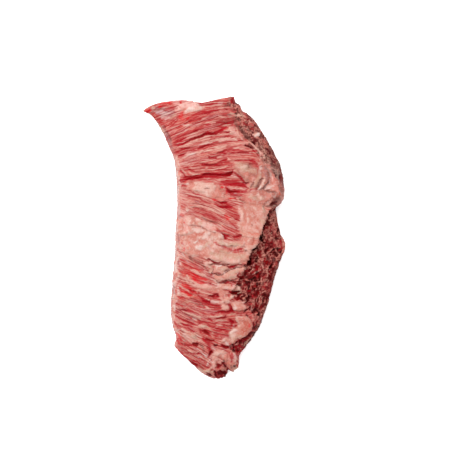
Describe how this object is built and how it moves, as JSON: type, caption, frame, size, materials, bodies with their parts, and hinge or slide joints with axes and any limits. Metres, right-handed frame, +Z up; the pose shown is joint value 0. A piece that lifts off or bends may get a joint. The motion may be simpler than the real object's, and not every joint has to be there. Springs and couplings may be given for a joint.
{
  "type": "skirt steak",
  "caption": "Raw skirt steak: a long, flat, slightly curved piece of coarse-grained beef with a fat sheet, a rough flank and a thin pointed corner, lying flat.",
  "frame": {"origin": "on the flat underside, under the middle of the outline's box", "axes": "+Y along the length of the steak towards the end with the pointed corner, +Z up out of the side with the fat, +X across the grain bundles' ends towards the rough flank"},
  "size_m": [0.1356, 0.269, 0.0274],
  "materials": {
    "raw_meat": "moist raw beef with pale fat, soft and slightly glossy"
  },
  "bodies": {
    "root": {"steak": "raw_meat"}
  },
  "joints": []
}
